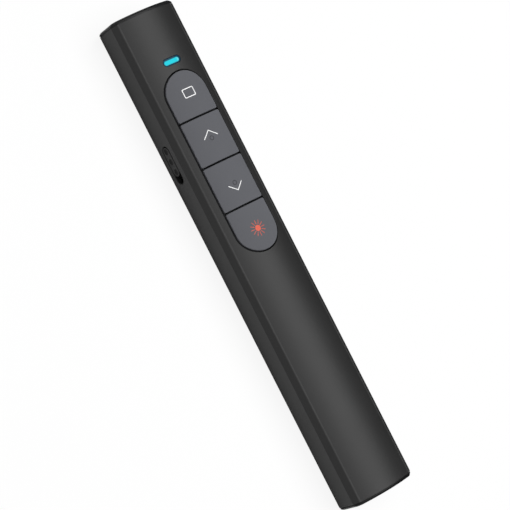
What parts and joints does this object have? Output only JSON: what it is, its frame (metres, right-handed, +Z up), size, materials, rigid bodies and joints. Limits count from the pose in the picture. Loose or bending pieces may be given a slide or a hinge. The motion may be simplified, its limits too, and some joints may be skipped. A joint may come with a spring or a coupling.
{
  "type": "wireless presentation clicker",
  "caption": "Slim crowned hand-held slide clicker with keys in a pill-shaped pad, side power slider, laser front, battery door and USB receiver parked in the tail.",
  "frame": {"origin": "centre of the overall box at the resting face", "axes": "+Y towards the laser end along the body, +Z up through the keys, +X away from the power slider"},
  "size_m": [0.02, 0.14, 0.0139],
  "materials": {
    "housing": "fine matte soft-touch",
    "end_trim": "satin black",
    "key_plastic": "matte grey",
    "slider_plastic": "matte",
    "inner_plastic": "moulded black",
    "white_plastic": "moulded white",
    "light": "glowing cyan diffuser",
    "window": "tinted clear",
    "lens": "clear",
    "board": "solder mask",
    "steel": "plated",
    "spring_steel": "nickel plated",
    "brass": "turned",
    "gold": "gold flash",
    "copper": "etched track",
    "ceramic_chip": "fired ceramic",
    "ferrite": "ferrite",
    "battery_film": "plain silver film",
    "magnet_plating": "nickel plated"
  },
  "bodies": {
    "housing": {"top_housing": "housing", "bottom_housing": "housing", "front_cap": "end_trim", "tail_frame": "end_trim", "key_switches": "inner_plastic", "radio_chip": "inner_plastic", "status_led": "white_plastic", "light_pipe": "light", "laser_window": "window", "laser_lens": "lens", "circuit_board": "board", "switch_covers": "steel", "slide_switch": "steel", "board_screws": "steel", "clock_crystal": "steel", "battery_cell": "steel", "positive_contact": "spring_steel", "negative_contact": "spring_steel", "battery_spring": "spring_steel", "return_strip": "spring_steel", "laser_barrel": "brass", "lens_ring": "brass", "laser_diode": "gold", "diode_pins": "gold", "antenna_trace": "copper", "capacitors": "ceramic_chip", "resistors": "ceramic_chip", "boost_coil": "ferrite", "battery_jacket": "battery_film", "magnet": "magnet_plating"},
    "screen_press": {"screen_key": "key_plastic", "screen_plunger": "white_plastic"},
    "page_up_press": {"page_up_key": "key_plastic", "page_up_plunger": "white_plastic"},
    "page_down_press": {"page_down_key": "key_plastic", "page_down_plunger": "white_plastic"},
    "laser_press": {"laser_key": "key_plastic", "laser_plunger": "white_plastic"},
    "slider": {"power_slider": "slider_plastic", "slide_lever": "inner_plastic"},
    "door": {"battery_door": "housing"},
    "receiver": {"receiver_body": "inner_plastic", "receiver_plug": "steel", "receiver_tongue": "white_plastic", "receiver_contacts": "gold"}
  },
  "joints": [
    {"name": "screen_key_travel", "type": "slide", "parent": "housing", "child": "screen_press", "axis": [0, 0, -1], "range_m": [0, 0.0004], "stiffness_N_per_m": 600},
    {"name": "page_up_key_travel", "type": "slide", "parent": "housing", "child": "page_up_press", "axis": [0, 0, -1], "range_m": [0, 0.0004], "stiffness_N_per_m": 600},
    {"name": "page_down_key_travel", "type": "slide", "parent": "housing", "child": "page_down_press", "axis": [0, 0, -1], "range_m": [0, 0.0004], "stiffness_N_per_m": 600},
    {"name": "laser_key_travel", "type": "slide", "parent": "housing", "child": "laser_press", "axis": [0, 0, -1], "range_m": [0, 0.0004], "stiffness_N_per_m": 600},
    {"name": "power_slide", "type": "slide", "parent": "housing", "child": "slider", "axis": [0, -1, 0], "range_m": [0, 0.002]},
    {"name": "battery_door_swing", "type": "hinge", "parent": "housing", "child": "door", "pos_m": [0, -0.00185, 0], "axis": [1, 0, 0], "range_deg": [0, 75]},
    {"name": "receiver_pull", "type": "slide", "parent": "housing", "child": "receiver", "axis": [0, -1, 0], "range_m": [0, 0.03]}
  ]
}
